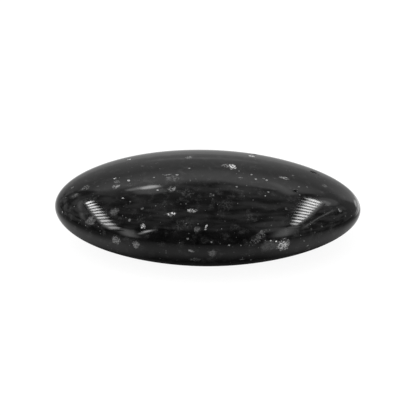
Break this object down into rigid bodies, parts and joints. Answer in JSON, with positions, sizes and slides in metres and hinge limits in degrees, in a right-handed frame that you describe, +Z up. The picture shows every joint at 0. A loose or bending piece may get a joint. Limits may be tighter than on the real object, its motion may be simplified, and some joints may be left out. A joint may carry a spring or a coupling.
{
  "type": "basalt massage stone",
  "caption": "Solid elongated pebble of black basalt, polished all over for hot-stone massage, with a small flat underneath to rest on.",
  "frame": {"origin": "middle of the stone's plan at the level of its resting flat, which is at z = 0", "axes": "+X along the stone, towards its slimmer end; +Y across its width; +Z up through its thickness"},
  "size_m": [0.1, 0.058, 0.0296],
  "materials": {
    "basalt": "polished black, with grey mineral flecks and a few small pits"
  },
  "bodies": {
    "root": {"massage_stone": "basalt"}
  },
  "joints": []
}
